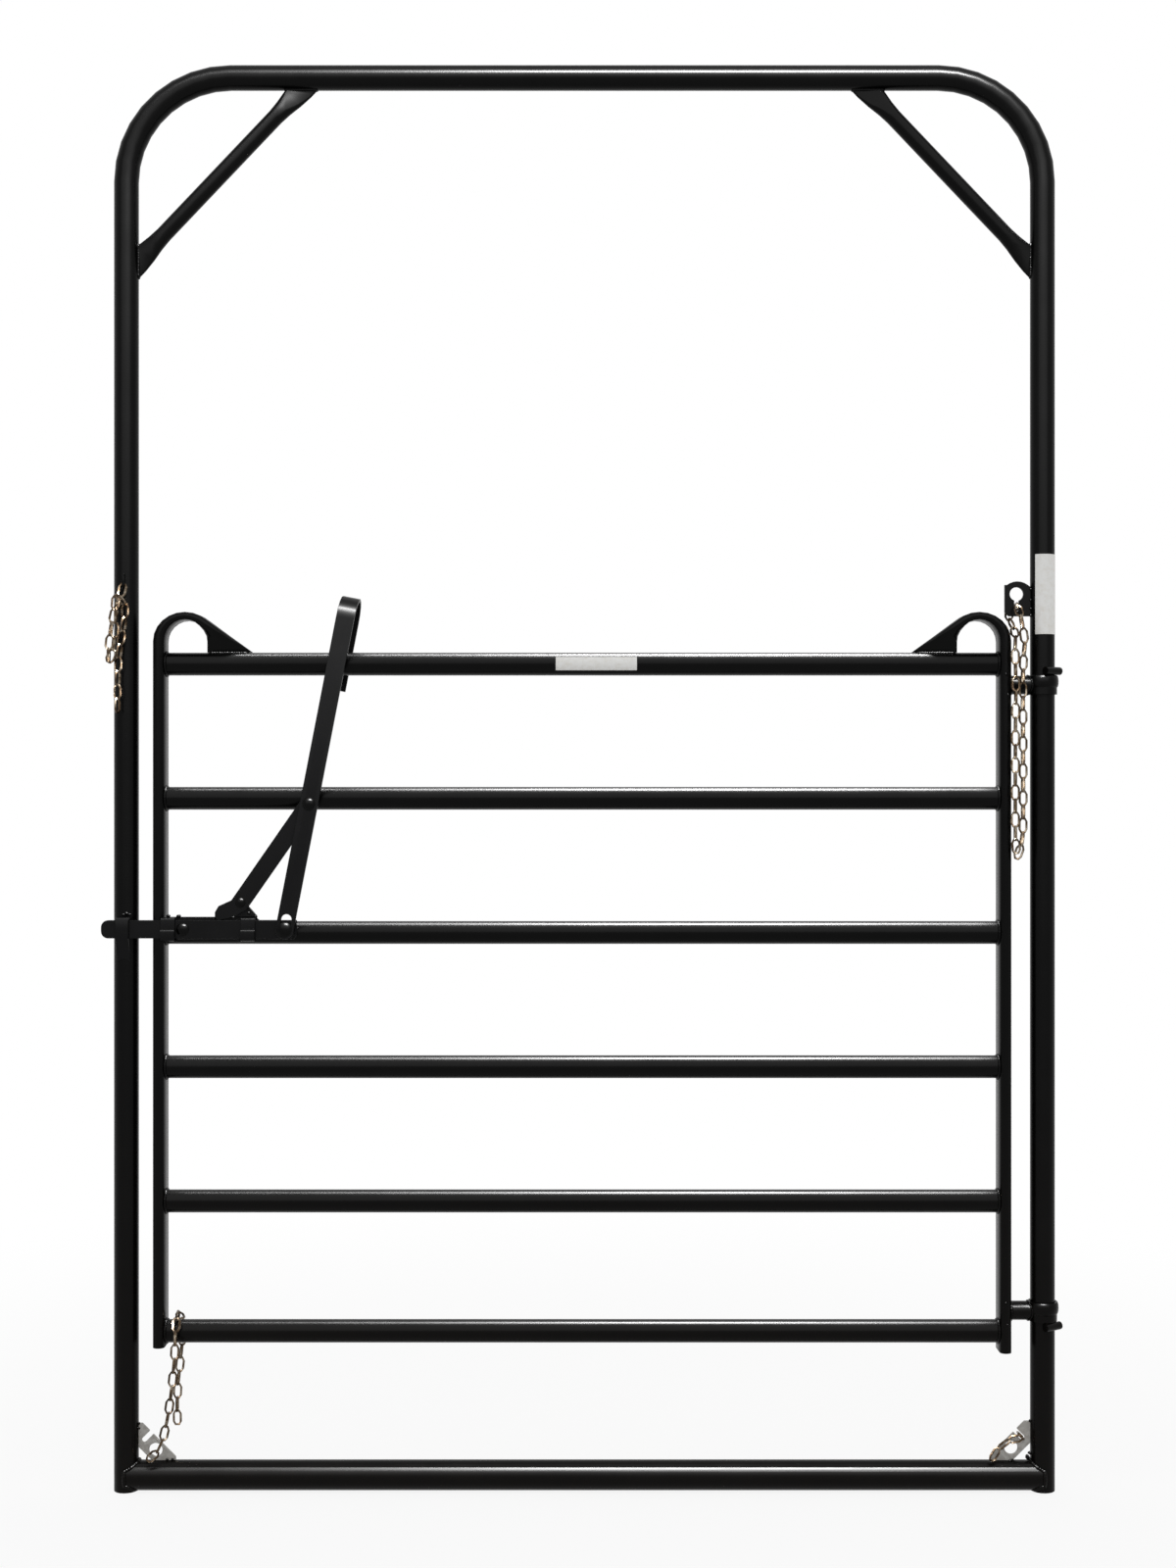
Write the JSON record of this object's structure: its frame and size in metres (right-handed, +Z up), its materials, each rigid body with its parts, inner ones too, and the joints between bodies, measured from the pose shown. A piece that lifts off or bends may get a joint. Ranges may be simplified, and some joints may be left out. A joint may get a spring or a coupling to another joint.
{
  "type": "livestock bow gate",
  "caption": "Walk-through arch of bent tube with a railed swing gate, folded lever latch, sliding bolt and hanging chains.",
  "frame": {"origin": "on the ground midway between the two posts, on the plane through both posts' axes", "axes": "+Z up, +X towards the hinge post, +Y away from the latch's front"},
  "size_m": [1.8584, 0.1076, 2.769],
  "materials": {
    "black_coat": "satin gloss black powder coat on steel",
    "galvanised_steel": "dull galvanised steel",
    "zinc_chain": "yellow zinc plated steel"
  },
  "bodies": {
    "frame": {"bow_tube": "black_coat", "sill_tube": "black_coat", "brace_left": "black_coat", "brace_right": "black_coat", "hinge_stop_upper": "black_coat", "hinge_stop_lower": "black_coat", "keyhole_plate": "black_coat", "corner_plate_latch": "galvanised_steel", "corner_plate_hinge": "galvanised_steel", "latch_keeper": "black_coat", "chain_eye": "black_coat", "hinge_chain": "zinc_chain", "latch_chain": "zinc_chain", "corner_chain": "zinc_chain"},
    "gate": {"gate_rail_1": "black_coat", "gate_rail_2": "black_coat", "gate_rail_3": "black_coat", "gate_rail_4": "black_coat", "gate_rail_5": "black_coat", "gate_rail_6": "black_coat", "gate_stile_latch": "black_coat", "gate_stile_hinge": "black_coat", "hinge_upper": "black_coat", "hinge_lower": "black_coat", "latch_back_plate": "black_coat", "bolt_guide_left": "black_coat", "bolt_guide_right": "black_coat", "latch_ear": "black_coat", "latch_strap": "black_coat", "ear_rivet": "black_coat", "fulcrum_bolt": "black_coat", "fulcrum_nut": "black_coat", "gate_chain": "zinc_chain"},
    "lever": {"latch_lever": "black_coat"},
    "bolt": {"latch_bolt": "black_coat", "drive_pin": "black_coat", "stop_pin": "black_coat"}
  },
  "joints": [
    {"name": "gate_swing", "type": "hinge", "parent": "frame", "child": "gate", "pos_m": [0.8907, 0, 0], "axis": [0, 0, -1], "range_deg": [0, 110]},
    {"name": "lever_swing", "type": "hinge", "parent": "gate", "child": "lever", "pos_m": [-0.5303, 0, 1.3338], "axis": [0, -1, 0], "range_deg": [0, 22]},
    {"name": "bolt_slide", "type": "slide", "parent": "gate", "child": "bolt", "axis": [1, 0, 0], "range_m": [0, 0.0945]}
  ],
  "couplings": [
    {"joint": "bolt_slide", "follows": "lever_swing", "m_per_rad": 0.2451}
  ]
}
